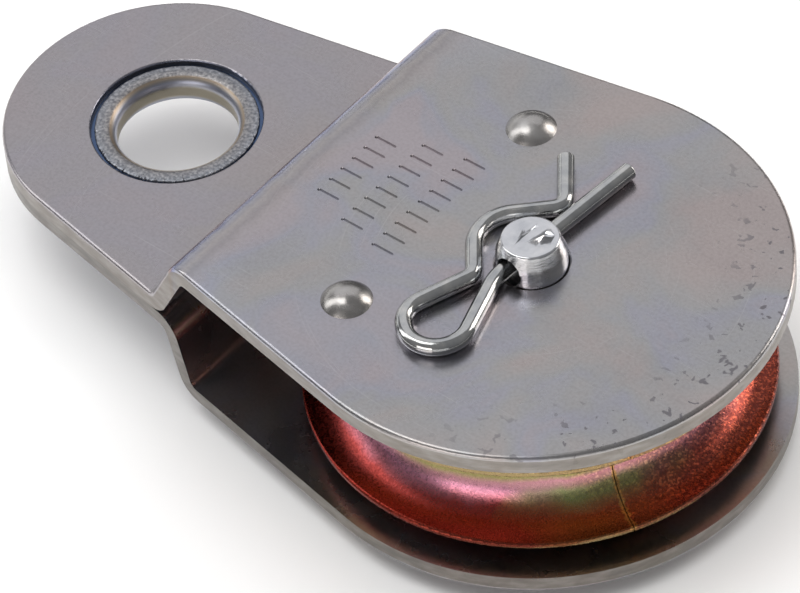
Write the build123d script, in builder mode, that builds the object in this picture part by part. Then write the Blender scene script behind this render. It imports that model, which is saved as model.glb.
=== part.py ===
from build123d import *

import os
from math import asin, cos, radians, sin, tan

# Fixed-eye rope pulley: a grooved sheave on a removable axle pin between two steel cheeks.
# The cheeks lie face to face at the eye, where one flared eyelet clamps them together, and
# a joggle in each opens the room for the sheave. Millimetres.
# Origin: centre of the eye, on the plane where the cheeks meet.
# +X runs from the eye to the axle, +Z along the eye and the axle, out of the clipped side.

# ---- Driving sizes ---------------------------------------------------------------------
# Cheeks
plate_t = 2.66  # 12 gauge sheet
eye_to_axle = 63.0
cheek_end_r = 34.25  # round end over the sheave, about the axle
eye_end_r = 22.8  # round end behind the eye
eye_end_shift = 1.8  # that end's centre sits this far behind the eye's centre
upper_rise = 10.1  # meeting plane to the upper cheek's inner face at the sheave
lower_drop = 10.4  # the same for the lower cheek
upper_joggle_angle = 60.0
lower_joggle_angle = 75.5
upper_joggle_gap = 4.9  # sheave's lips to the upper joggle, inside
lower_joggle_gap = 5.8
bend_r = 1.3  # inside radius of every bend
edge_roll_r = 0.6  # rounding that blanking leaves round the outer face
hole_break = 0.2  # broken edge round the axle holes

# Punched marks: rows of plain chisel cuts across the upper cheek, between the bend and the axle
mark_l = 3.6
mark_w = 0.5
mark_depth = 0.25
mark_draft = 30.0
mark_pitch = 2.4
mark_rows = ((29.7, 6), (23.6, 8), (17.4, 9))  # each row's distance from the axle and its marks

# Eyelet
eyelet_throat_r = 8.4
eyelet_flare_r = 1.7
eyelet_wall = 1.8
eyelet_rim_w = 1.25  # how far each rim reaches past the barrel
eyelet_rim_t = 0.55
eyelet_rim_sink = 0.35  # rim's top, below the cheek's outer face
rim_edge_drop = 0.15  # the rim falls by this much to its edge
recess_gap = 0.5  # open ring between the rim and the wall of its recess
recess_round = 0.3

# Sheave
rim_r = 31.75  # 2 1/2 in across the lips
sheet_t = 1.0  # the groove ring's sheet
groove_r = 6.45  # groove bottom, for rope up to 1/2 in
lip_straight = 0.4
lip_round = 0.3
seam_gap = 0.15  # where the ring's ends meet
seam_angle = -29.3  # from +X, about the axle
web_t = 1.2
web_half_gap = 2.2
hub_wall = 1.65
hub_break = 0.4
bush_wall = 1.5375
end_play = 0.25  # hub end to cheek

# Axle pin, 3/8 in
pin_d = 9.525
pin_running = 0.05  # radial clearance in the bush
cheek_hole_gap = 0.2  # radial clearance in the cheeks
pin_stickout = 4.6  # end face above the upper cheek
pin_taper = 2.45
pin_nose_r = 3.85
pin_edge_r = 0.4
head_reach = 1.5875  # head's edge past the pin
head_t = 3.2
head_break = 0.5
head_play = 0.15
cross_hole_r = 2.1
cross_hole_lift = 1.45  # cross hole's centre above the upper cheek

# Hairpin clip
wire_d = 2.38  # 3/32 in wire
clip_lift = 0.08  # wire above the cheek
clip_skew = 5.07  # straight leg's turn from +Y towards +X, degrees
leg_to_hole = 0.1  # straight leg to the wall of the cross hole, which it is sprung against
leg_tip_y = 19.7  # from the axle, along the straight leg
leg_bend_y = 6.1
leg_bend_r = 8.0
loop_r = 4.25
loop_at = (-2.45, -16.6)  # loop's centre, from the axle
loop_aim = -20.0  # the loop's first corner, seen from its centre, degrees from +X
loop_turn = 75.0  # from each of its three corners to the next
wave_at = ((-3.85, -7.25), (-8.25, -1.75), (-8.65, 2.65))  # the wavy leg's corners round the pin
wave_r = 5.5
nip_r = 1.9  # the wavy leg's two tight bends
nip_y = 9.35
nip_turn = 84.0
nip_gap = 0.08  # between the legs at the open end
short_tip = (-7.45, 16.7)  # the wavy leg's end
wire_end_r = 0.25

# Rub rivets: low heads inside the cheeks that keep the sheave's lips off them
rivet_circle_r = 24.7  # from the axle
rivet_angle = 51.4  # each side of the line from the axle to the eye, degrees
rivet_shank_r = 2.0
dome_r = 3.45
dome_h = 1.7
rub_head_r = 3.1
rub_face_r = 2.2
rub_head_h = 1.4

# ---- Sizes that follow -----------------------------------------------------------------
pin_r = pin_d / 2
head_r = pin_r + head_reach
bush_r = pin_r + pin_running + bush_wall
hub_r = bush_r + hub_wall
wire_r = wire_d / 2
upper_face = upper_rise + plate_t
lower_face = -(lower_drop + plate_t)
sheave_mid = (upper_rise - lower_drop) / 2
hub_half = (upper_rise + lower_drop) / 2 - end_play
channel_r = groove_r + sheet_t
channel_centre = rim_r - lip_straight
far_x = eye_to_axle + cheek_end_r
eye_x = -(eye_end_shift + eye_end_r)
barrel_r = eyelet_throat_r + eyelet_wall
rim_out_r = barrel_r + eyelet_rim_w
recess_r = rim_out_r + recess_gap
recess_depth = eyelet_rim_sink + eyelet_rim_t
axle = (eye_to_axle, 0)
rivet_x = eye_to_axle - rivet_circle_r * cos(radians(rivet_angle))
rivet_y = rivet_circle_r * sin(radians(rivet_angle))


def rounds(part, radius):
    """A part's round edges of one radius."""
    circles = part.edges().filter_by(GeomType.CIRCLE)
    return circles.filter_by(lambda e: abs(e.radius - radius) < 1e-6)


# ---- Cheeks ----------------------------------------------------------------------------
# Plan of both cheeks: two round ends joined by flanks that touch both.
flank = asin((cheek_end_r - eye_end_r) / (eye_to_axle + eye_end_shift))
big_x = eye_to_axle - cheek_end_r * sin(flank)
big_y = cheek_end_r * cos(flank)
small_x = -eye_end_shift - eye_end_r * sin(flank)
small_y = eye_end_r * cos(flank)

with BuildSketch() as cheek_plan:
    with BuildLine():
        Line((small_x, small_y), (big_x, big_y))
        ThreePointArc((big_x, big_y), (far_x, 0), (big_x, -big_y))
        Line((big_x, -big_y), (small_x, -small_y))
        ThreePointArc((small_x, -small_y), (eye_x, 0), (small_x, small_y))
    make_face()


def joggle_inset(angle):
    """How far a joggle's inner corners stand beyond its outer ones."""
    return plate_t * tan(radians(angle) / 2)


def joggle_foot(angle, rise, gap):
    """Where a joggle leaves the eye's outer face, so that it clears the sheave by the gap."""
    return eye_to_axle - rim_r - gap - joggle_inset(angle) - rise / tan(radians(angle))


def cheek_side(foot, angle, rise):
    """Side view of a joggled plate, its flat eye end resting on the meeting plane."""
    start = eye_x - plate_t
    end = far_x + plate_t
    top = foot + rise / tan(radians(angle))
    inset = joggle_inset(angle)
    outer = [(start, plate_t), (foot, plate_t), (top, rise + plate_t), (end, rise + plate_t)]
    inner = [(start, 0), (foot + inset, 0), (top + inset, rise), (end, rise)]
    with BuildSketch() as side:
        with BuildLine():
            FilletPolyline(*outer, radius=[bend_r, bend_r + plate_t])
            FilletPolyline(*inner, radius=[bend_r + plate_t, bend_r])
            Line(outer[0], inner[0])
            Line(outer[-1], inner[-1])
        make_face()
    return side.sketch


def outer_height(x, foot, angle, rise):
    """Height of a cheek's outer face at x."""
    return plate_t + min(max((x - foot) * tan(radians(angle)), 0), rise)


def make_cheek(angle, rise, gap):
    """A cheek with its outer face up: joggled plate, eye hole and recess, axle and rivet holes."""
    foot = joggle_foot(angle, rise, gap)
    with BuildPart() as cheek:
        with BuildSketch(Plane.XZ.offset(-2 * cheek_end_r)):
            add(cheek_side(foot, angle, rise))
        extrude(amount=4 * cheek_end_r)
        with BuildSketch():
            add(cheek_plan.sketch)
        extrude(amount=4 * rise, mode=Mode.INTERSECT)
        rim = cheek.edges().filter_by(Axis.Y, reverse=True)
        rim = rim.filter_by(
            lambda e: e.center().Z > outer_height(e.center().X, foot, angle, rise) - plate_t / 2
        )
        fillet(rim, radius=edge_roll_r)
        with Locations((0, 0, plate_t)):
            CounterBoreHole(barrel_r, recess_r, recess_depth)
        fillet(rounds(cheek, recess_r).sort_by(Axis.Z)[-1], radius=recess_round)
        with Locations((eye_to_axle, 0, rise + plate_t)):
            Hole(pin_r + cheek_hole_gap)
        chamfer(rounds(cheek, pin_r + cheek_hole_gap), length=hole_break)
        with Locations((rivet_x, rivet_y, rise + plate_t), (rivet_x, -rivet_y, rise + plate_t)):
            Hole(rivet_shank_r)
    return cheek.part


with BuildPart() as upper_cheek:
    add(make_cheek(upper_joggle_angle, upper_rise, upper_joggle_gap))
    with BuildSketch(Plane.XY.offset(upper_face)):
        for from_axle, marks in mark_rows:
            with Locations((eye_to_axle - from_axle, 0)):
                with GridLocations(0, mark_pitch, 1, marks):
                    SlotOverall(mark_l, mark_w)
    extrude(amount=-mark_depth, taper=mark_draft, mode=Mode.SUBTRACT)

with BuildPart() as lower_cheek:
    add(make_cheek(lower_joggle_angle, lower_drop, lower_joggle_gap).mirror(Plane.XY))

# ---- Eyelet ----------------------------------------------------------------------------
rim_top = plate_t - eyelet_rim_sink
rim_under = plate_t - recess_depth
throat_half = rim_top - eyelet_flare_r
crest_r = eyelet_throat_r + eyelet_flare_r

with BuildPart() as eyelet:
    with BuildSketch(Plane.XZ):
        with BuildLine():
            Line((eyelet_throat_r, 0), (eyelet_throat_r, throat_half))
            RadiusArc((eyelet_throat_r, throat_half), (crest_r, rim_top), eyelet_flare_r)
            Line((crest_r, rim_top), (rim_out_r, rim_top - rim_edge_drop))
            Line((rim_out_r, rim_top - rim_edge_drop), (rim_out_r, rim_under))
            Line((rim_out_r, rim_under), (barrel_r, rim_under))
            Line((barrel_r, rim_under), (barrel_r, 0))
            Line((barrel_r, 0), (eyelet_throat_r, 0))
        make_face()
        mirror(about=Plane.XZ)
    revolve(axis=Axis.Z)

# ---- Rub rivets ------------------------------------------------------------------------
dome_ball_r = (dome_r**2 + dome_h**2) / (2 * dome_h)


def make_rivet(rise):
    """A domed rivet in an upper cheek, its low rub head inside."""
    outer = rise + plate_t
    with BuildPart() as rivet:
        with BuildSketch(Plane.XZ):
            with BuildLine():
                RadiusArc((0, outer + dome_h), (dome_r, outer), dome_ball_r)
                Line((dome_r, outer), (rivet_shank_r, outer))
                Line((rivet_shank_r, outer), (rivet_shank_r, rise))
                Line((rivet_shank_r, rise), (rub_head_r, rise))
                Line((rub_head_r, rise), (rub_head_r, rise - rub_head_h / 2))
                Line((rub_head_r, rise - rub_head_h / 2), (rub_face_r, rise - rub_head_h))
                Line((rub_face_r, rise - rub_head_h), (0, rise - rub_head_h))
                Line((0, rise - rub_head_h), (0, outer + dome_h))
            make_face()
        revolve(axis=Axis.Z)
    return rivet.part


rivets = {}
for side, across in (("far", rivet_y), ("near", -rivet_y)):
    place = Pos(rivet_x, across, 0)
    rivets["upper_rivet_" + side] = place * make_rivet(upper_rise)
    rivets["lower_rivet_" + side] = place * make_rivet(lower_drop).mirror(Plane.XY)

# ---- Sheave ----------------------------------------------------------------------------
# The ring is rolled from one strip; both webs are pressed into its back and on the hub.
sheave_plane = Plane(origin=(eye_to_axle, 0, sheave_mid), x_dir=(1, 0, 0), z_dir=(0, -1, 0))
sheave_axis = Axis((eye_to_axle, 0, 0), (0, 0, 1))

with BuildPart() as groove_ring:
    with BuildSketch(sheave_plane):
        with BuildLine():
            Line((rim_r, channel_r), (channel_centre, channel_r))
            ThreePointArc(
                (channel_centre, channel_r),
                (channel_centre - channel_r, 0),
                (channel_centre, -channel_r),
            )
            Line((channel_centre, -channel_r), (rim_r, -channel_r))
            Line((rim_r, -channel_r), (rim_r, -groove_r))
            Line((rim_r, -groove_r), (channel_centre, -groove_r))
            ThreePointArc(
                (channel_centre, -groove_r),
                (channel_centre - groove_r, 0),
                (channel_centre, groove_r),
            )
            Line((channel_centre, groove_r), (rim_r, groove_r))
            Line((rim_r, groove_r), (rim_r, channel_r))
        make_face()
    revolve(axis=sheave_axis)
    fillet(rounds(groove_ring, rim_r), radius=lip_round)
    with Locations(Location((eye_to_axle, 0, sheave_mid), (0, 0, seam_angle))):
        Box(rim_r, seam_gap, 2 * channel_r, align=(Align.MIN, Align.CENTER, Align.CENTER),
            mode=Mode.SUBTRACT)


def make_web(inner_face, outer_face):
    """A flat disc between two heights, ending on the curved back of the groove ring."""
    with BuildPart() as web:
        with BuildSketch(sheave_plane):
            with Locations(((hub_r + channel_centre) / 2, (inner_face + outer_face) / 2)):
                Rectangle(channel_centre - hub_r, outer_face - inner_face)
            with Locations((channel_centre, 0)):
                Circle(channel_r, mode=Mode.SUBTRACT)
        revolve(axis=sheave_axis)
    return web.part


with BuildPart() as upper_web:
    add(make_web(web_half_gap, web_half_gap + web_t))

with BuildPart() as lower_web:
    add(make_web(-web_half_gap - web_t, -web_half_gap))

with BuildPart() as hub:
    with BuildSketch(Plane.XY.offset(sheave_mid - hub_half)):
        with Locations(axle):
            Circle(hub_r)
            Circle(bush_r, mode=Mode.SUBTRACT)
    extrude(amount=2 * hub_half)
    chamfer(rounds(hub, hub_r), length=hub_break)

with BuildPart() as bush:
    with BuildSketch(Plane.XY.offset(sheave_mid - hub_half)):
        with Locations(axle):
            Circle(bush_r)
            Circle(pin_r + pin_running, mode=Mode.SUBTRACT)
    extrude(amount=2 * hub_half)

# ---- Axle pin --------------------------------------------------------------------------
pin_end = upper_face + pin_stickout
head_top = lower_face - head_play
pin_plane = Plane(origin=(eye_to_axle, 0, 0), x_dir=(1, 0, 0), z_dir=(0, -1, 0))
cross_z = upper_face + cross_hole_lift
leg_dir = Vector(sin(radians(clip_skew)), cos(radians(clip_skew)), 0)
leg_side = Vector(-leg_dir.Y, leg_dir.X, 0)

with BuildPart() as axle_pin:
    with BuildSketch(pin_plane):
        with BuildLine():
            Polyline(
                (0, pin_end),
                (pin_nose_r, pin_end),
                (pin_r, pin_end - pin_taper),
                (pin_r, head_top),
                (head_r, head_top),
                (head_r, head_top - head_t),
                (0, head_top - head_t),
                close=True,
            )
        make_face()
    revolve(axis=sheave_axis)
    fillet(rounds(axle_pin, pin_nose_r), radius=pin_edge_r)
    chamfer(rounds(axle_pin, head_r), length=head_break)
    with BuildSketch(Plane(origin=Vector(eye_to_axle, 0, cross_z) - leg_dir * pin_d, z_dir=leg_dir)):
        Circle(cross_hole_r)
    extrude(amount=2 * pin_d, mode=Mode.SUBTRACT)

# ---- Hairpin clip ----------------------------------------------------------------------
# One planar wire. The straight leg goes through the cross hole, sprung against its wall;
# the other leg waves round the outside of the pin. Corners are about the axle.
wire_z = upper_face + clip_lift + wire_r
wire_drop = cross_z - wire_z
leg_off = ((cross_hole_r - wire_r - leg_to_hole) ** 2 - wire_drop**2) ** 0.5
leg_tip = leg_side * leg_off + leg_dir * leg_tip_y
leg_bend = leg_side * leg_off - leg_dir * leg_bend_y
nip_x = (
    leg_tip.X
    - (leg_tip_y - nip_y) * tan(radians(clip_skew))
    - (wire_d + nip_gap) / cos(radians(clip_skew))
    + nip_r * (1 / cos(radians(nip_turn / 2)) - 1)
)
loop_reach = loop_r / cos(radians(loop_turn / 2))
loop_corners = []
for corner in range(3):
    spoke = radians(loop_aim - corner * loop_turn)
    loop_corners.append((loop_at[0] + loop_reach * cos(spoke), loop_at[1] + loop_reach * sin(spoke)))
clip_corners = [
    (leg_tip.X, leg_tip.Y),
    (leg_bend.X, leg_bend.Y),
    *loop_corners,
    *wave_at,
    (nip_x, nip_y),
    short_tip,
]
clip_radii = [leg_bend_r, loop_r, loop_r, loop_r, nip_r, wave_r, wave_r, nip_r]

with BuildPart() as hairpin_clip:
    with BuildLine(Plane(origin=(eye_to_axle, 0, wire_z))) as wire:
        FilletPolyline(*clip_corners, radius=clip_radii)
    with BuildSketch(Plane(origin=wire.line @ 0, z_dir=wire.line % 0)):
        Circle(wire_r)
    sweep()
    ends = hairpin_clip.faces().filter_by(GeomType.PLANE)
    fillet(ends.edges(), radius=wire_end_r)

# ---- Files -----------------------------------------------------------------------------
pieces = {
    "upper_cheek": upper_cheek.part,
    "lower_cheek": lower_cheek.part,
    "eyelet": eyelet.part,
    "groove_ring": groove_ring.part,
    "upper_web": upper_web.part,
    "lower_web": lower_web.part,
    "hub": hub.part,
    "bush": bush.part,
    "axle_pin": axle_pin.part,
    "hairpin_clip": hairpin_clip.part,
}
pieces.update(rivets)

os.makedirs("parts", exist_ok=True)
for name, piece in pieces.items():
    piece.label = name
    export_step(piece, f"parts/{name}.step")
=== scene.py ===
"""Fixed-eye rope pulley: plated finishes, worn details and a plain studio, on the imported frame."""

import math
import random

import bmesh
import bpy
from mathutils import Matrix, Quaternion, Vector, noise


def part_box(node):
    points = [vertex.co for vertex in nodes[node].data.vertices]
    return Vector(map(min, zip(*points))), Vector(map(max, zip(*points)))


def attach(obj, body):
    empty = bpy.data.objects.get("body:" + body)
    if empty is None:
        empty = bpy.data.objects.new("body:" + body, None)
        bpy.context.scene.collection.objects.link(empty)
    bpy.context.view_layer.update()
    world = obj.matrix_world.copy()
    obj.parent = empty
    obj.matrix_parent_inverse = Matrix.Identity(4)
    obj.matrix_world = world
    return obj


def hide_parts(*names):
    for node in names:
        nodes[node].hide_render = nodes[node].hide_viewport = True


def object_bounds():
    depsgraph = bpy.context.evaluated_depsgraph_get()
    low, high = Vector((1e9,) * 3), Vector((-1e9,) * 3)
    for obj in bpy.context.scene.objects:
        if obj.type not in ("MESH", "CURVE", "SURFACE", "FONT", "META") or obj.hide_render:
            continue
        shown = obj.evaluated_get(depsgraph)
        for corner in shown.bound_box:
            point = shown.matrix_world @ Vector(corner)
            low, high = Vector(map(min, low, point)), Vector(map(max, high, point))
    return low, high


MM = 0.001
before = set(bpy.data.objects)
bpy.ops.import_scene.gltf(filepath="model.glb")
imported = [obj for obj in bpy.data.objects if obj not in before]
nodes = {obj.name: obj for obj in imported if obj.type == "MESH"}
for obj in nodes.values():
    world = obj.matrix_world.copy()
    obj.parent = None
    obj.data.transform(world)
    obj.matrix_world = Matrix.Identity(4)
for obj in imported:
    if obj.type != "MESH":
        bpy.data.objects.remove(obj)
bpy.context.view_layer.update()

# ---- Sizes, in millimetres, that the details share with the frame -------------------------
AXLE_X = 63.0
SHEAVE_MID = -0.15
LIP_HALF = 7.45  # sheave's middle to the outer face of a lip
THROAT_R = 8.4  # of the eyelet
RIM_R = 11.45  # of the eyelet
RECESS_R = 11.95  # of the plate round the eyelet
BEND_X = 24.9  # where the upper cheek's joggle runs into its flat
PIN_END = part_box("axle_pin")[1].z / MM
SEAM = math.radians(-29.3)  # where the groove ring's ends meet, about the axle


def linear(code):
    """An sRGB hex colour as the linear red, green, blue, alpha that shaders take."""
    levels = [int(code[i:i + 2], 16) / 255 for i in (1, 3, 5)]
    return [v / 12.92 if v <= 0.04045 else ((v + 0.055) / 1.055) ** 2.4 for v in levels] + [1.0]


def add(tree, kind, links=None, stops=(), **settings):
    """One shader node. links gives each named or numbered socket its value or another node's
    socket, and stops the colours or greys of a ramp."""
    made = tree.nodes.new(kind)
    for name, value in settings.items():
        setattr(made, name, value)
    for name, value in (links or {}).items():
        socket = made.inputs[name]
        if isinstance(value, bpy.types.NodeSocket):
            tree.links.new(value, socket)
        else:
            socket.default_value = value
    for i, (place, shade) in enumerate(stops):
        ramp = made.color_ramp.elements
        spot = ramp[i] if i < 2 else ramp.new(place)
        spot.position = place
        spot.color = linear(shade) if isinstance(shade, str) else (shade, shade, shade, 1.0)
    return made


def metal(name, roughness):
    """A bare plated surface: material, its tree, its shader and its points in millimetres."""
    material = bpy.data.materials.new(name)
    material.use_nodes = True
    tree = material.node_tree
    shader = tree.nodes["Principled BSDF"]
    shader.inputs["Metallic"].default_value = 1.0
    shader.inputs["Roughness"].default_value = roughness
    place = add(tree, "ShaderNodeTexCoord")
    point = add(tree, "ShaderNodeVectorMath", {0: place.outputs["Object"], "Scale": 1000.0},
                operation="SCALE")
    return material, tree, shader, point.outputs["Vector"]


def about_axle(tree, point):
    """Radius, angle and height of a point about the axle."""
    shifted = add(tree, "ShaderNodeVectorMath", {0: point, 1: (AXLE_X, 0, SHEAVE_MID)},
                  operation="SUBTRACT")
    parts = add(tree, "ShaderNodeSeparateXYZ", {0: shifted.outputs[0]})
    flat = add(tree, "ShaderNodeCombineXYZ", {0: parts.outputs[0], 1: parts.outputs[1]})
    radius = add(tree, "ShaderNodeVectorMath", {0: flat.outputs[0]}, operation="LENGTH")
    angle = add(tree, "ShaderNodeMath", {0: parts.outputs[1], 1: parts.outputs[0]},
                operation="ARCTAN2")
    return radius.outputs["Value"], angle.outputs[0], parts.outputs[2]


def scratches(tree, point, turn, length, width, share):
    """Straight hairline scratches in one direction, as a mask."""
    turned = add(tree, "ShaderNodeMapping", {"Vector": point, "Rotation": (0, 0, math.radians(turn)),
                                             "Scale": (1 / length, 1 / width, 1 / length)})
    lines = add(tree, "ShaderNodeTexNoise", {"Vector": turned.outputs[0], "Scale": 1.0, "Detail": 1.0})
    mask = add(tree, "ShaderNodeValToRGB", {0: lines.outputs["Fac"]},
               stops=((share, 0.0), (share + 0.035, 1.0)))
    return mask.outputs["Color"]


# ---- Finishes ------------------------------------------------------------------------------
def zinc_on_sheet(name, tones, edge_tones, roughness, bend_at=None, freckled=False):
    """Bright zinc electroplated on blanked sheet steel and clear-chromated: a satin lilac grey
    with slow cloudy tones, fine mill grain, hairline scratches and a rainbow where it was bent,
    with the bend's light and shade painted into it."""
    material, tree, shader, point = metal(name, roughness)
    clouds = add(tree, "ShaderNodeTexNoise", {"Vector": point, "Scale": 1 / 16, "Detail": 5.0,
                                              "Roughness": 0.62})
    tone = add(tree, "ShaderNodeValToRGB", {0: clouds.outputs["Fac"]},
               stops=tuple(zip((0.3, 0.48, 0.7), tones)))
    # the clear film drifts between tan, green, blue and lilac over some 20 mm
    drift = add(tree, "ShaderNodeTexNoise", {"Vector": point, "Scale": 1 / 19, "Detail": 3.0,
                                             "Distortion": 0.6})
    film = add(tree, "ShaderNodeValToRGB", {0: drift.outputs["Fac"]},
               stops=((0.32, "#BEB0A9"), (0.43, "#B5B1AC"), (0.5, "#ADB0AF"), (0.57, "#AAAEBB"),
                      (0.66, "#B8AFB4")))
    colour = add(tree, "ShaderNodeMix", {0: 0.55, 6: tone.outputs[0], 7: film.outputs[0]},
                 data_type="RGBA").outputs[2]
    radius, angle, _ = about_axle(tree, point)
    # the colour cools to a blue grey round the eye
    eyeward = add(tree, "ShaderNodeMapRange", {"Value": radius, "From Min": 36.0, "From Max": 52.0,
                                               "To Max": 0.55})
    colour = add(tree, "ShaderNodeMix", {0: eyeward.outputs[0], 6: colour, 7: linear("#B6BDCE")},
                 data_type="RGBA").outputs[2]
    if bend_at is not None:
        # round the bend the film thins from tan through purple and blue to pale lilac; the ramp's
        # darker and lighter steps are painted shade and painted highlight of the curved bend
        parts = add(tree, "ShaderNodeSeparateXYZ", {0: point})
        wander = add(tree, "ShaderNodeTexNoise", {"Vector": point, "Scale": 1 / 3, "Detail": 4.0})
        shifted = add(tree, "ShaderNodeMath", {0: wander.outputs["Fac"], 1: 1.6, 2: parts.outputs[0]},
                      operation="MULTIPLY_ADD")
        across = add(tree, "ShaderNodeMapRange", {"Value": shifted.outputs[0],
                                                  "From Min": bend_at - 0.7, "From Max": bend_at + 6.3})
        rainbow = add(tree, "ShaderNodeValToRGB", {0: across.outputs[0]},
                      stops=((0.0, "#A8968A"), (0.08, "#A17D6A"), (0.15, "#78697E"), (0.22, "#868CAE"),
                             (0.31, "#AAAAB6"), (0.46, "#BDB7B2"), (0.6, "#9E9896"), (0.8, "#B9B1AC")))
        strip = add(tree, "ShaderNodeValToRGB", {0: across.outputs[0]},
                    stops=((0.0, 0.4), (0.08, 0.85), (0.26, 0.8), (0.5, 0.6), (0.7, 0.4), (1.0, 0.0)))
        colour = add(tree, "ShaderNodeMix", {0: strip.outputs[0], 6: colour, 7: rainbow.outputs[0]},
                     data_type="RGBA").outputs[2]
    # mill grain of the sheet, about 0.5 mm
    grain = add(tree, "ShaderNodeTexNoise", {"Vector": point, "Scale": 2.2, "Detail": 3.0})
    fleck = add(tree, "ShaderNodeValToRGB", {0: grain.outputs["Fac"]},
                stops=((0.3, "#DCDAD8"), (0.6, "#FFFFFF")))
    colour = add(tree, "ShaderNodeMix", {0: 0.35, 6: colour, 7: fleck.outputs[0]},
                 data_type="RGBA", blend_type="MULTIPLY").outputs[2]
    hairs = scratches(tree, point, 28, 14.0, 0.16, 0.72)
    crossed = scratches(tree, point, -61, 9.0, 0.13, 0.74)
    lines = add(tree, "ShaderNodeMath", {0: hairs, 1: crossed}, operation="MAXIMUM").outputs[0]
    # rings that the clip rubbed as the pin turned, some 0.3 mm wide
    rubbed = add(tree, "ShaderNodeCombineXYZ", {0: radius, 1: angle})
    arcs = add(tree, "ShaderNodeMapping", {"Vector": rubbed.outputs[0], "Scale": (3.2, 0.8, 1.0)})
    ring_noise = add(tree, "ShaderNodeTexNoise", {"Vector": arcs.outputs[0], "Scale": 1.0,
                                                  "Detail": 1.0})
    rings = add(tree, "ShaderNodeValToRGB", {0: ring_noise.outputs["Fac"]},
                stops=((0.68, 0.0), (0.75, 0.6)))
    lines = add(tree, "ShaderNodeMath", {0: lines, 1: rings.outputs[0]}, operation="MAXIMUM").outputs[0]
    faint = add(tree, "ShaderNodeMath", {0: lines, 1: 0.32}, operation="MULTIPLY").outputs[0]
    colour = add(tree, "ShaderNodeMix", {0: faint, 6: colour, 7: linear("#CFCDCD")},
                 data_type="RGBA").outputs[2]
    worn = add(tree, "ShaderNodeMapRange", {"Value": clouds.outputs["Fac"], "From Min": 0.3,
                                            "From Max": 0.7, "To Min": roughness - 0.05,
                                            "To Max": roughness + 0.06})
    rough = worn.outputs[0]
    if freckled:
        # grey storage stains where the plate's far end was handled, 1 to 3 mm across
        spots = add(tree, "ShaderNodeTexNoise", {"Vector": point, "Scale": 1 / 1.5, "Detail": 2.5,
                                                 "Distortion": 0.4})
        spotty = add(tree, "ShaderNodeValToRGB", {0: spots.outputs["Fac"]},
                     stops=((0.635, 0.0), (0.665, 0.85)))
        towards = add(tree, "ShaderNodeMapRange", {"Value": radius, "From Min": 22.0, "From Max": 31.0})
        end_side = add(tree, "ShaderNodeMath", {0: angle}, operation="ABSOLUTE")
        fore = add(tree, "ShaderNodeMapRange", {"Value": end_side.outputs[0], "From Min": 1.5,
                                                "From Max": 0.7})
        region = add(tree, "ShaderNodeMath", {0: towards.outputs[0], 1: fore.outputs[0]},
                     operation="MULTIPLY")
        stain = add(tree, "ShaderNodeMath", {0: region.outputs[0], 1: spotty.outputs[0]},
                    operation="MULTIPLY").outputs[0]
        colour = add(tree, "ShaderNodeMix", {0: stain, 6: colour, 7: linear("#807D82")},
                     data_type="RGBA").outputs[2]
        rough = add(tree, "ShaderNodeMix", {0: stain, 2: rough, 3: 0.5}).outputs[0]
    # the zinc in the eyelet's recess is painted a dark blue, out to the recess's wall: painted shade of
    # the narrow gap round the eyelet's rim
    level = add(tree, "ShaderNodeVectorMath", {0: point, 1: (1.0, 1.0, 0.0)}, operation="MULTIPLY")
    from_eye = add(tree, "ShaderNodeVectorMath", {0: level.outputs[0]}, operation="LENGTH")
    groove = add(tree, "ShaderNodeMapRange", {"Value": from_eye.outputs["Value"],
                                              "From Min": RECESS_R + 0.2,
                                              "From Max": RECESS_R - 0.1})
    colour = add(tree, "ShaderNodeMix", {0: groove.outputs[0], 6: colour, 7: linear("#566888")},
                 data_type="RGBA").outputs[2]
    # blanked edges: sheared across the plate, duller and darker than the faces
    facing = add(tree, "ShaderNodeNewGeometry")
    tilt = add(tree, "ShaderNodeSeparateXYZ", {0: facing.outputs["Normal"]})
    upright = add(tree, "ShaderNodeMath", {0: tilt.outputs[2]}, operation="ABSOLUTE")
    sheared = add(tree, "ShaderNodeMapRange", {"Value": upright.outputs[0], "From Min": 0.2,
                                               "From Max": 0.08, "To Max": 0.85}).outputs[0]
    fibres = add(tree, "ShaderNodeMapping", {"Vector": point, "Scale": (0.3, 0.3, 1.1)})
    shear = add(tree, "ShaderNodeTexNoise", {"Vector": fibres.outputs[0], "Scale": 1.0, "Detail": 4.0})
    torn = add(tree, "ShaderNodeValToRGB", {0: shear.outputs["Fac"]},
               stops=tuple(zip((0.34, 0.5, 0.66), edge_tones)))
    colour = add(tree, "ShaderNodeMix", {0: sheared, 6: colour, 7: torn.outputs[0]},
                 data_type="RGBA").outputs[2]
    rough = add(tree, "ShaderNodeMix", {0: sheared, 2: rough, 3: 0.42}).outputs[0]
    tree.links.new(colour, shader.inputs["Base Color"])
    tree.links.new(rough, shader.inputs["Roughness"])
    # orange peel of about 0.02 mm under the plate, and the scratches' own depth
    peel = add(tree, "ShaderNodeTexNoise", {"Vector": point, "Scale": 1 / 1.6, "Detail": 4.0})
    surface = add(tree, "ShaderNodeMath", {0: lines, 1: -0.25, 2: peel.outputs["Fac"]},
                  operation="MULTIPLY_ADD")
    bump = add(tree, "ShaderNodeBump", {"Strength": 0.35, "Distance": 0.02 * MM,
                                        "Height": surface.outputs[0]})
    tree.links.new(bump.outputs[0], shader.inputs["Normal"])
    return material


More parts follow.
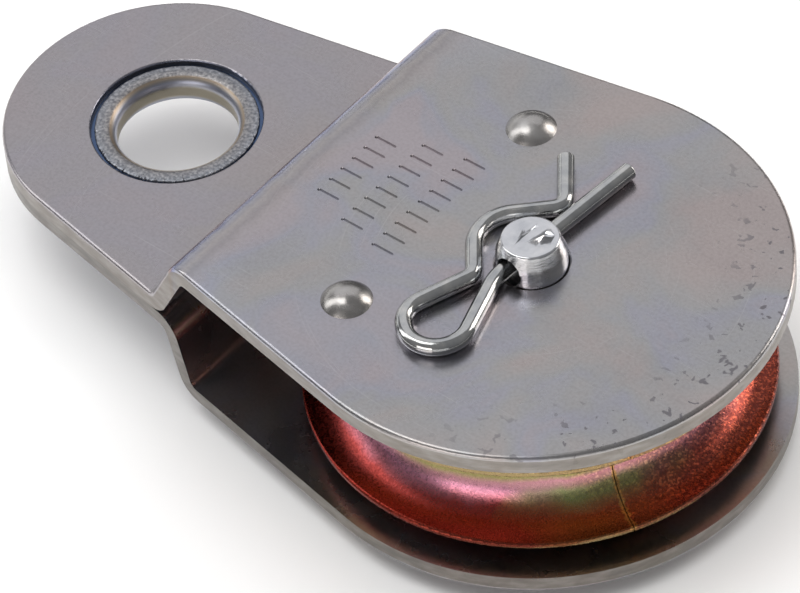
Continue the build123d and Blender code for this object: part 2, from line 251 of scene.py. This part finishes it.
def bright_zinc(name, tone, roughness, dent, streak=None):
    """Bright zinc on turned, headed or drawn steel: near mirror, with small handling dents and
    the streaks that the die or the tool left."""
    material, tree, shader, point = metal(name, roughness)
    clouds = add(tree, "ShaderNodeTexNoise", {"Vector": point, "Scale": 1 / 2.5, "Detail": 4.0})
    colour = add(tree, "ShaderNodeValToRGB", {0: clouds.outputs["Fac"]},
                 stops=((0.3, tone[0]), (0.52, tone[1]), (0.7, tone[2])))
    tree.links.new(colour.outputs[0], shader.inputs["Base Color"])
    worn = add(tree, "ShaderNodeMapRange", {"Value": clouds.outputs["Fac"], "From Min": 0.3,
                                            "From Max": 0.7, "To Min": roughness * 0.7,
                                            "To Max": roughness * 1.5})
    tree.links.new(worn.outputs[0], shader.inputs["Roughness"])
    pitted = add(tree, "ShaderNodeTexNoise", {"Vector": point, "Scale": 1 / 0.9, "Detail": 3.0})
    height = pitted.outputs["Fac"]
    if streak is not None:
        drawn = add(tree, "ShaderNodeMapping", {"Vector": point, "Scale": streak})
        lines = add(tree, "ShaderNodeTexNoise", {"Vector": drawn.outputs[0], "Scale": 1.0,
                                                 "Detail": 2.0})
        height = add(tree, "ShaderNodeMath", {0: lines.outputs["Fac"], 1: 0.5, 2: height},
                     operation="MULTIPLY_ADD").outputs[0]
    bump = add(tree, "ShaderNodeBump", {"Strength": 0.4, "Distance": dent * MM, "Height": height})
    tree.links.new(bump.outputs[0], shader.inputs["Normal"])
    return material


def crimped_zinc():
    """Zinc on the rolled-over eyelet: the rim's metal tore and crumbled as it was set, so it is
    dull and mottled, while on the throat's curved flare a bluish band over a beige one is painted
    shading."""
    material, tree, shader, point = metal("zinc_plated_rolled_eyelet", 0.36)
    parts = add(tree, "ShaderNodeSeparateXYZ", {0: point})
    flat = add(tree, "ShaderNodeCombineXYZ", {0: parts.outputs[0], 1: parts.outputs[1]})
    radius = add(tree, "ShaderNodeVectorMath", {0: flat.outputs[0]}, operation="LENGTH")
    out = add(tree, "ShaderNodeMapRange", {"Value": radius.outputs["Value"], "From Min": THROAT_R,
                                           "From Max": RIM_R - 0.05})
    # painted shading: bands by radius across the curved flare stand for its light and shade
    bands = add(tree, "ShaderNodeValToRGB", {0: out.outputs[0]},
                stops=((0.0, "#A39C8C"), (0.02, "#ACADB6"), (0.1, "#9DA2B2"), (0.18, "#A29C97"),
                       (0.28, "#B8A692"), (0.36, "#BFBBBA"), (1.0, "#BCBFC6")))
    # crumbs of torn metal, about 0.4 mm
    crumbs = add(tree, "ShaderNodeTexNoise", {"Vector": point, "Scale": 2.3, "Detail": 5.0})
    patch = add(tree, "ShaderNodeValToRGB", {0: crumbs.outputs["Fac"]},
                stops=((0.34, "#8C9098"), (0.5, "#C6C8CA"), (0.66, "#FFFFFF")))
    rim = add(tree, "ShaderNodeMapRange", {"Value": out.outputs[0], "From Min": 0.24, "From Max": 0.36})
    speck = add(tree, "ShaderNodeMix", {0: rim.outputs[0], 6: linear("#FFFFFF"), 7: patch.outputs[0]},
                data_type="RGBA")
    colour = add(tree, "ShaderNodeMix", {0: 0.75, 6: bands.outputs[0], 7: speck.outputs[2]},
                 data_type="RGBA", blend_type="MULTIPLY")
    tree.links.new(colour.outputs[2], shader.inputs["Base Color"])
    rough = add(tree, "ShaderNodeMapRange", {"Value": rim.outputs[0], "To Min": 0.38, "To Max": 0.42})
    tree.links.new(rough.outputs[0], shader.inputs["Roughness"])
    depth = add(tree, "ShaderNodeMath", {0: crumbs.outputs["Fac"], 1: rim.outputs[0]},
                operation="MULTIPLY")
    bump = add(tree, "ShaderNodeBump", {"Strength": 0.7, "Distance": 0.12 * MM,
                                        "Height": depth.outputs[0]})
    tree.links.new(bump.outputs[0], shader.inputs["Normal"])
    return material


def yellow_zinc():
    """Yellow-chromated zinc on the rolled sheave: a glassy film whose thickness turns it from
    pink through green to red and gold, with crystals of about 0.25 mm. The pink band is partly
    a painted highlight, and the crystals carry painted glints and a painted copper sheen."""
    material, tree, shader, point = metal("yellow_chromated_zinc", 0.26)
    _, angle, height = about_axle(tree, point)
    warp = add(tree, "ShaderNodeTexNoise", {"Vector": point, "Scale": 1 / 9, "Detail": 3.0,
                                            "Distortion": 0.5})
    bent = add(tree, "ShaderNodeMath", {0: warp.outputs["Fac"], 1: 1.8, 2: height},
               operation="MULTIPLY_ADD")
    # painted highlight: away from the side of the ring nearest the camera the bands stand up to 1.1 mm
    # lower, so the pink band lies where the groove's highlights fall
    aslant = add(tree, "ShaderNodeMath", {0: angle, 1: 0.5}, operation="ADD")
    sideways = add(tree, "ShaderNodeMath", {0: aslant.outputs[0]}, operation="ABSOLUTE")
    painted_highlight_lean = add(tree, "ShaderNodeMapRange", {"Value": sideways.outputs[0], "From Min": 0.35,
                                            "From Max": 1.1, "To Max": 1.1})
    bent = add(tree, "ShaderNodeMath", {0: bent.outputs[0], 1: painted_highlight_lean.outputs[0]}, operation="ADD")
    level = add(tree, "ShaderNodeMapRange", {"Value": bent.outputs[0], "From Min": 0.9 - LIP_HALF,
                                             "From Max": 0.9 + LIP_HALF})
    # the film's colours by height; the pale pink band among them is partly a painted highlight
    red_run = add(tree, "ShaderNodeValToRGB", {0: level.outputs[0]},
                  stops=((0.02, "#A89468"), (0.05, "#7C3A2C"), (0.14, "#8E3026"), (0.19, "#9C403E"),
                         (0.24, "#B26C78"), (0.31, "#C488A0"), (0.37, "#B4848A"), (0.42, "#98925F"),
                         (0.6, "#B08870"), (0.8, "#C48488"), (0.97, "#A89468")))
    green_run = add(tree, "ShaderNodeValToRGB", {0: level.outputs[0]},
                    stops=((0.02, "#A89468"), (0.05, "#80502E"), (0.12, "#944A2C"), (0.17, "#98744C"),
                           (0.22, "#98A068"), (0.28, "#A8AC78"), (0.33, "#C49A94"), (0.38, "#D094A0"),
                           (0.43, "#A4A068"), (0.7, "#B08870"), (0.97, "#A89468")))
    # a thicker, green patch of film sits where the strip's ends meet, some 20 degrees round
    from_seam = add(tree, "ShaderNodeMath", {0: angle, 1: math.radians(34)}, operation="ADD")
    aside = add(tree, "ShaderNodeMath", {0: from_seam.outputs[0]}, operation="ABSOLUTE")
    choice = add(tree, "ShaderNodeTexNoise", {"Vector": point, "Scale": 1 / 8, "Detail": 2.0})
    near = add(tree, "ShaderNodeMath", {0: choice.outputs["Fac"], 1: -0.6, 2: aside.outputs[0]},
               operation="MULTIPLY_ADD")
    pick = add(tree, "ShaderNodeMapRange", {"Value": near.outputs[0], "From Min": 0.12,
                                            "From Max": -0.1})
    colour = add(tree, "ShaderNodeMix", {0: pick.outputs[0], 6: red_run.outputs[0],
                                         7: green_run.outputs[0]}, data_type="RGBA")
    # the film broke up and turned gold along the two edges of the joint
    ragged = add(tree, "ShaderNodeTexNoise", {"Vector": point, "Scale": 1.6, "Detail": 4.0})
    off = add(tree, "ShaderNodeMath", {0: angle, 1: -SEAM}, operation="ADD")
    beside = add(tree, "ShaderNodeMath", {0: off.outputs[0]}, operation="ABSOLUTE")
    frayed = add(tree, "ShaderNodeMath", {0: ragged.outputs["Fac"], 1: -0.05, 2: beside.outputs[0]},
                 operation="MULTIPLY_ADD")
    gilt = add(tree, "ShaderNodeMapRange", {"Value": frayed.outputs[0], "From Min": -0.008,
                                            "From Max": -0.016, "To Max": 0.9})
    colour = add(tree, "ShaderNodeMix", {0: gilt.outputs[0], 6: colour.outputs[2],
                                         7: linear("#C79C58")}, data_type="RGBA")
    # crystals of about 0.25 mm; their near-white cells are painted glints
    crystals = add(tree, "ShaderNodeTexVoronoi", {"Vector": point, "Scale": 4.0})
    glint = add(tree, "ShaderNodeSeparateColor", {0: crystals.outputs["Color"]})
    painted_crystal_glints = add(tree, "ShaderNodeValToRGB", {0: glint.outputs[0]},
                  stops=((0.0, "#685450"), (0.5, "#857870"), (0.78, "#C8AC8C"), (0.92, "#FFF0C8")))
    # painted glints and sheen: the crystals' near-white glints and a copper-pink sheen are painted on
    # one side of the ring, where the light falls, more than on the other
    patchy = add(tree, "ShaderNodeTexNoise", {"Vector": point, "Scale": 1 / 9, "Detail": 3.0})
    turned = add(tree, "ShaderNodeMath", {0: angle, 1: 0.25}, operation="SUBTRACT")
    towards = add(tree, "ShaderNodeMath", {0: turned.outputs[0]}, operation="COSINE")
    glint_spread = add(tree, "ShaderNodeMath", {0: patchy.outputs["Fac"], 1: 0.9, 2: towards.outputs[0]},
                operation="MULTIPLY_ADD")
    where = add(tree, "ShaderNodeMapRange", {"Value": glint_spread.outputs[0], "From Min": 0.95,
                                             "From Max": 1.4, "To Min": 0.06, "To Max": 0.62})
    painted_copper_sheen = add(tree, "ShaderNodeMath", {0: where.outputs[0], 1: 0.6}, operation="MULTIPLY")
    colour = add(tree, "ShaderNodeMix", {0: painted_copper_sheen.outputs[0], 6: colour.outputs[2],
                                         7: linear("#A66E62")}, data_type="RGBA")
    colour = add(tree, "ShaderNodeMix", {0: where.outputs[0], 6: colour.outputs[2],
                                         7: painted_crystal_glints.outputs[0]}, data_type="RGBA", blend_type="OVERLAY")
    tree.links.new(colour.outputs[2], shader.inputs["Base Color"])
    rough = add(tree, "ShaderNodeMapRange", {"Value": glint.outputs[1], "To Min": 0.2, "To Max": 0.36})
    tree.links.new(rough.outputs[0], shader.inputs["Roughness"])
    fine = add(tree, "ShaderNodeTexNoise", {"Vector": point, "Scale": 3.0, "Detail": 4.0})
    bump = add(tree, "ShaderNodeBump", {"Strength": 0.5, "Distance": 0.04 * MM,
                                        "Height": fine.outputs["Fac"]})
    tree.links.new(bump.outputs[0], shader.inputs["Normal"])
    return material


def turned_bronze():
    """Sintered bronze bush: a dull brown gold with turning rings 0.3 mm apart."""
    material, tree, shader, point = metal("sintered_bronze", 0.42)
    radius, _, _ = about_axle(tree, point)
    spots = add(tree, "ShaderNodeTexNoise", {"Vector": point, "Scale": 1.5, "Detail": 4.0})
    colour = add(tree, "ShaderNodeValToRGB", {0: spots.outputs["Fac"]},
                 stops=((0.3, "#7E5F38"), (0.5, "#A07C48"), (0.7, "#B8945C")))
    tree.links.new(colour.outputs[0], shader.inputs["Base Color"])
    rings = add(tree, "ShaderNodeMath", {0: radius, 1: 2 * math.pi / 0.3}, operation="MULTIPLY")
    ridge = add(tree, "ShaderNodeMath", {0: rings.outputs[0]}, operation="SINE")
    bump = add(tree, "ShaderNodeBump", {"Strength": 0.5, "Distance": 0.02 * MM,
                                        "Height": ridge.outputs[0]})
    tree.links.new(bump.outputs[0], shader.inputs["Normal"])
    return material


def studio_paper():
    """Matt white background paper, with the faintest cloudiness of its pulp."""
    material = bpy.data.materials.new("matt_background_paper")
    material.use_nodes = True
    tree = material.node_tree
    shader = tree.nodes["Principled BSDF"]
    shader.inputs["Roughness"].default_value = 0.9
    shader.inputs["Specular IOR Level"].default_value = 0.1
    place = add(tree, "ShaderNodeTexCoord")
    pulp = add(tree, "ShaderNodeTexNoise", {"Vector": place.outputs["Object"], "Scale": 12.0})
    colour = add(tree, "ShaderNodeValToRGB", {0: pulp.outputs["Fac"]},
                 stops=((0.3, "#F4F3F2"), (0.7, "#F8F8F7")))
    tree.links.new(colour.outputs[0], shader.inputs["Base Color"])
    return material


upper_zinc = zinc_on_sheet("clear_chromated_zinc_on_sheet", ("#A8A3A7", "#B6B1B3", "#C1BBBD"),
                           ("#837D76", "#8F8982", "#9D9893"), 0.27, bend_at=BEND_X, freckled=True)
# painted shade: the lower cheek's edge tones are darker than the upper cheek's, for the shade its sides
# lie in
lower_zinc = zinc_on_sheet("bright_zinc_on_sheet", ("#A39E9C", "#B4B0B0", "#C0BCBA"),
                           ("#6C665F", "#79736B", "#8A857E"), 0.27)
sheave_yellow = yellow_zinc()
wire_zinc = bright_zinc("bright_zinc_on_drawn_wire", ("#B4B6B8", "#C6C7C6", "#D4D3D0"), 0.13, 0.03)
pin_zinc = bright_zinc("bright_zinc_on_turned_steel", ("#D2D4D8", "#E0E1E4", "#EAEAEB"), 0.14, 0.09,
                       streak=(0.4, 0.4, 9.0))
rivet_zinc = bright_zinc("bright_zinc_on_headed_rivet", ("#A8A5A2", "#BAB7B4", "#C8C6C4"), 0.25, 0.05)
bronze = turned_bronze()
eyelet_zinc = crimped_zinc()

finishes = {
    "upper_cheek": upper_zinc,
    "lower_cheek": lower_zinc,
    "eyelet": eyelet_zinc,
    "groove_ring": sheave_yellow,
    "upper_web": sheave_yellow,
    "lower_web": sheave_yellow,
    "hub": sheave_yellow,
    "bush": bronze,
    "axle_pin": pin_zinc,
    "hairpin_clip": wire_zinc,
    "upper_rivet_far": rivet_zinc,
    "upper_rivet_near": rivet_zinc,
    "lower_rivet_far": rivet_zinc,
    "lower_rivet_near": rivet_zinc,
}
for name, finish in finishes.items():
    for place in nodes[name].material_slots:
        place.material = finish


def new_piece(name, mesh, finish):
    """An object from a mesh in metres, in the scene and finished."""
    piece = bpy.data.objects.new(name, mesh)
    bpy.context.scene.collection.objects.link(piece)
    mesh.materials.clear()
    mesh.materials.append(finish)
    return piece


# ---- Eyelet: a lathe form whose rolled rim is torn and crumbled ------------------------------
def rolled_eyelet():
    """The eyelet's surface of revolution, its rim notched and uneven, never outside the frame's."""
    flare_r, rim_top, rim_under, barrel_r = 1.7, 2.31, 1.76, 10.2
    crest_r = THROAT_R + flare_r
    outline = [(THROAT_R, 0.0), (THROAT_R, 0.35)]
    for step in range(13):
        swing = math.radians(90 * step / 12)
        outline.append((crest_r - flare_r * math.cos(swing),
                        rim_top - flare_r * (1 - math.sin(swing))))
    for share in (0.15, 0.3, 0.45, 0.6, 0.75, 0.87, 0.95, 1.0):
        # a slight fall, and a rounded edge
        outline.append((crest_r + (RIM_R - crest_r) * share,
                        rim_top - 0.02 * share - 0.2 * share ** 12))
    outline += [(RIM_R, 1.95), (RIM_R - 0.05, rim_under), (barrel_r, rim_under)]
    whole = [(r, -z) for r, z in reversed(outline[1:])] + outline
    spread = random.Random(7)
    # each tear's place and half width in degrees, with its depth between them
    tears = [(spread.gauss(-40, 38), spread.uniform(0.1, 0.4), spread.uniform(0.5, 1.3))
             for _ in range(34)]
    around = 900
    lump_scale, lumps_round, lump = 1.6, 14, 0.03
    crumb_scale, crumbs_round, crumb = 4, 38, 0.025
    ragged_edge, tear_back, tear_down = 0.04, 0.6, 0.5
    rim_above, face_above = 1.7, 1.8
    rows = []
    form = bmesh.new()
    for turn in range(around):
        degrees = 360 * turn / around
        swing = math.radians(degrees)
        tear = 0.0
        for at, depth, width in tears:
            off = abs((degrees - at + 180) % 360 - 180)
            tear = max(tear, depth * max(0.0, 1 - off / width))
        row = []
        for radius, height in whole:
            # share of the way from the crest to the rim's edge
            reach = 0.0
            if abs(height) > rim_above:
                reach = min(max((radius - crest_r) / (RIM_R - crest_r), 0.0), 1.0)
            lumpy = 1 + noise.noise(Vector((radius * lump_scale, math.cos(swing) * lumps_round,
                                            math.sin(swing) * lumps_round + height)))
            crumbly = 1 + noise.noise(Vector((radius * crumb_scale, math.cos(swing) * crumbs_round,
                                              math.sin(swing) * crumbs_round - height)))
            r = radius - reach ** 2 * (tear * tear_back + ragged_edge * lumpy)
            sink = min(reach * 4, 1.0) * (lump * lumpy + crumb * crumbly) + reach * tear * tear_down
            z = height
            if abs(height) > face_above:
                z = math.copysign(max(abs(height) - sink, 0), height)
            row.append(form.verts.new((r * math.cos(swing) * MM, r * math.sin(swing) * MM, z * MM)))
        rows.append(row)
    for turn in range(around):
        here, there = rows[turn], rows[(turn + 1) % around]
        for i in range(len(whole) - 1):
            form.faces.new((here[i], there[i], there[i + 1], here[i + 1]))
        form.faces.new((here[-1], there[-1], there[0], here[0]))
    bmesh.ops.recalc_face_normals(form, faces=form.faces)
    mesh = bpy.data.meshes.new("rolled_eyelet")
    form.to_mesh(mesh)
    form.free()
    mesh.shade_smooth()
    mesh.set_sharp_from_angle(angle=math.radians(38))
    return new_piece("rolled_eyelet", mesh, eyelet_zinc)


eyelet = rolled_eyelet()
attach(eyelet, "cheeks")
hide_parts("eyelet")


# ---- Axle pin: the frame's pin, with the nicks of a punch in its end ------------------------
def wedge(centre, length, width, depth, turn):
    """A V-section cutter lying along a nick, its keel down."""
    form = bmesh.new()
    half, w, proud = length / 2, width / 2, 0.1
    keel = half * 0.8
    corners = [(-half, -w, proud), (-half, w, proud), (half, w, proud), (half, -w, proud),
               (-keel, 0, -depth), (keel, 0, -depth)]
    v = [form.verts.new(Vector(c) * MM) for c in corners]
    for loop in ((0, 1, 2, 3), (0, 4, 5, 3), (1, 4, 5, 2), (0, 1, 4), (3, 2, 5)):
        form.faces.new([v[i] for i in loop])
    bmesh.ops.recalc_face_normals(form, faces=form.faces)
    mesh = bpy.data.meshes.new("cutter")
    form.to_mesh(mesh)
    form.free()
    cutter = bpy.data.objects.new("cutter", mesh)
    bpy.context.scene.collection.objects.link(cutter)
    cutter.matrix_world = (Matrix.Translation(Vector(centre) * MM)
                           @ Matrix.Rotation(math.radians(turn), 4, "Z"))
    return cutter


def nicked_pin():
    """A copy of the frame's pin, welded shut, with nicks cut into its end face."""
    mesh = nodes["axle_pin"].data.copy()
    mesh.name = "nicked_axle_pin"
    form = bmesh.new()
    form.from_mesh(mesh)
    bmesh.ops.remove_doubles(form, verts=form.verts, dist=0.0005 * MM)
    form.to_mesh(mesh)
    form.free()
    pin = new_piece("nicked_axle_pin", mesh, pin_zinc)
    # centre, length, width, depth, and turn in degrees
    nicks = [((AXLE_X - 0.9, 0.5, PIN_END), 2.2, 0.35, 0.25, 78),
             ((AXLE_X + 1.7, 1.6, PIN_END), 1.3, 0.7, 0.25, 25)]
    for nick in nicks:
        cutter = wedge(*nick)
        cut = pin.modifiers.new("nick", "BOOLEAN")
        cut.operation = "DIFFERENCE"
        cut.solver = "EXACT"
        cut.object = cutter
        bpy.context.view_layer.update()
        settled = pin.evaluated_get(bpy.context.evaluated_depsgraph_get())
        ready = bpy.data.meshes.new_from_object(settled)
        pin.modifiers.clear()
        pin.data = ready
        bpy.data.objects.remove(cutter)
    pin.data.shade_smooth()
    pin.data.set_sharp_from_angle(angle=math.radians(30))
    return pin


pin = nicked_pin()
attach(pin, "axle")
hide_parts("axle_pin")


# ---- Studio ---------------------------------------------------------------------------------
CLEAR_OF_FLOOR = 0.02 * MM  # so that no two faces lie in one plane
floor_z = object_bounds()[0][2] - CLEAR_OF_FLOOR
sheet = bpy.data.meshes.new("paper_floor")
side = 1.6  # metres
sheet.from_pydata([(-side, -side, floor_z), (side, -side, floor_z), (side, side, floor_z),
                   (-side, side, floor_z)], [], [(0, 1, 2, 3)])
floor = new_piece("paper_floor", sheet, studio_paper())

AIM = Vector((44.51, -6.04, 0.0)) * MM


def softbox(name, azimuth, elevation, distance, width, height, energy, tint="#FFFFFF"):
    """A rectangular diffuser that faces the pulley. Degrees, metres and watts."""
    lamp = bpy.data.lights.new(name, "AREA")
    lamp.shape = "RECTANGLE"
    lamp.size = width
    lamp.size_y = height
    lamp.energy = energy
    lamp.color = linear(tint)[:3]
    holder = bpy.data.objects.new(name, lamp)
    bpy.context.scene.collection.objects.link(holder)
    a, e = math.radians(azimuth), math.radians(elevation)
    holder.location = AIM + distance * Vector((math.cos(e) * math.cos(a), math.cos(e) * math.sin(a),
                                               math.sin(e)))
    holder.rotation_euler = (AIM - holder.location).to_track_quat("-Z", "Y").to_euler()
    return holder


# the wide back panel is what the flat faces mirror towards the camera
softbox("back_panel", 133.5, 46.0, 1.1, 1.3, 0.9, 1.95, "#FBFBFF")
softbox("top_panel", 215.0, 74.0, 0.9, 0.36, 0.36, 1.0)
softbox("front_panel", -82.0, 18.0, 0.8, 0.5, 0.3, 1.15, "#FFF8F4")
softbox("right_strip", 66.0, 24.0, 0.9, 0.34, 0.5, 2.0, "#FFF8F2")
softbox("left_strip", 205.0, 40.0, 0.9, 0.3, 0.8, 1.5)
softbox("near_card", -44.0, 9.0, 1.2, 0.8, 0.22, 0.42)
softbox("far_card", 165.0, 13.0, 1.0, 0.9, 0.3, 0.55)
# this one whitens the paper and is in no reflection
wash = softbox("paper_wash", 0.0, 89.0, 1.2, 1.2, 1.2, 11.0)
wash.visible_glossy = False

world = bpy.data.worlds.new("studio_room")
bpy.context.scene.world = world
world.use_nodes = True
room = world.node_tree
looking = add(room, "ShaderNodeTexCoord")
upward = add(room, "ShaderNodeSeparateXYZ", {0: looking.outputs["Generated"]})
shade = add(room, "ShaderNodeMapRange", {"Value": upward.outputs[2], "From Min": -0.1, "From Max": 1.0})
walls = add(room, "ShaderNodeValToRGB", {0: shade.outputs[0]},
            stops=((0.0, "#8C8C8E"), (0.15, "#A0A0A2"), (0.5, "#B8B8BA"), (1.0, "#D0D0D2")))
room.links.new(walls.outputs[0], room.nodes["Background"].inputs["Color"])
room.nodes["Background"].inputs["Strength"].default_value = 0.42

# ---- Camera ---------------------------------------------------------------------------------
CAMERA_AT = Vector((360.1, -338.1, 480.5)) * MM
CAMERA_ROLL = math.radians(-5.81)

eye = bpy.data.cameras.new("camera")
eye.sensor_width = 36.0
eye.lens = 224.68
eye.clip_start = 0.01
camera = bpy.data.objects.new("camera", eye)
bpy.context.scene.collection.objects.link(camera)
camera.location = CAMERA_AT
looks = (AIM - camera.location).to_track_quat("-Z", "Y")
camera.rotation_euler = (looks @ Quaternion((0, 0, 1), CAMERA_ROLL)).to_euler()
bpy.context.scene.camera = camera
bpy.context.scene.view_settings.view_transform = "Standard"
